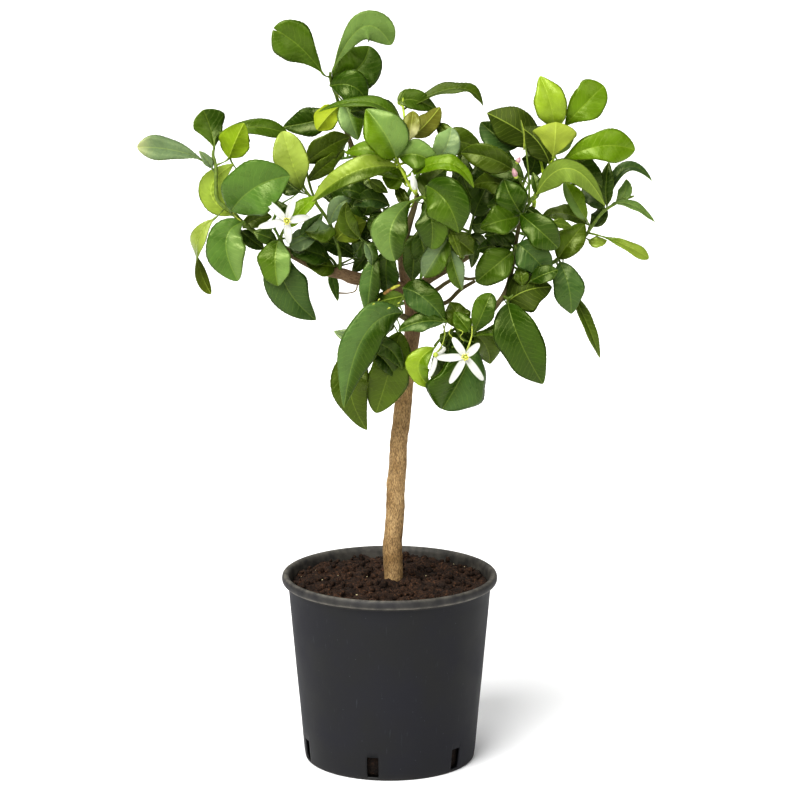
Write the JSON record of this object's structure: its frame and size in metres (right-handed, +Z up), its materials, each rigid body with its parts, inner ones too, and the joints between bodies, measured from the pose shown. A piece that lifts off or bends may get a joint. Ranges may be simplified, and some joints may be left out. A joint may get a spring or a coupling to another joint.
{
  "type": "potted lemon tree",
  "caption": "Small standard lemon tree on one trunk, with a wide leafy crown, white flowers and buds, standing in a round nursery pot filled with soil.",
  "frame": {"origin": "middle of the pot's flat underside, on the surface that the pot stands on", "axes": "+Z up along the pot's axis, +Y towards the back of the plant, +X to the right seen from the front"},
  "size_m": [0.5319, 0.3647, 0.7996],
  "materials": {
    "pot_plastic": "moulded dark grey plastic, satin, with fine scratches",
    "potting_soil": "dark damp peat, crumbly",
    "bark": "tan bark with fine lengthwise fissures",
    "leaf": "glossy leathery citrus leaf",
    "petal": "waxy white petal",
    "anther": "yellow anthers round a pale green pistil",
    "bud": "waxy pink-white bud"
  },
  "bodies": {
    "root": {"pot": "pot_plastic", "soil": "potting_soil", "trunk_and_branches": "bark", "shoot_top": "leaf", "shoot_left_end": "leaf", "shoot_left_low": "leaf", "shoot_left_under": "leaf", "shoot_left_up": "leaf", "shoot_crown": "leaf", "shoot_front": "leaf", "shoot_inner": "leaf", "shoot_low_left": "leaf", "shoot_low_right": "leaf", "shoot_right_low": "leaf", "shoot_right_front": "leaf", "shoot_right_inner": "leaf", "shoot_right_top": "leaf", "shoot_right_end": "leaf", "shoot_core_left": "leaf", "shoot_core_mid": "leaf", "shoot_core_right": "leaf", "shoot_core_upper": "leaf", "shoot_back_mid": "leaf", "shoot_back_top": "leaf", "shoot_back_left": "leaf", "shoot_back_right": "leaf", "shoot_back_low": "leaf", "shoot_back_low_right": "leaf", "flower_left_petals": "petal", "flower_left_middle": "anther", "flower_right_petals": "petal", "flower_right_middle": "anther", "flower_small_petals": "petal", "flower_small_middle": "anther", "bud_white": "petal", "bud_pink_low": "bud", "bud_pink_high": "bud"}
  },
  "joints": []
}
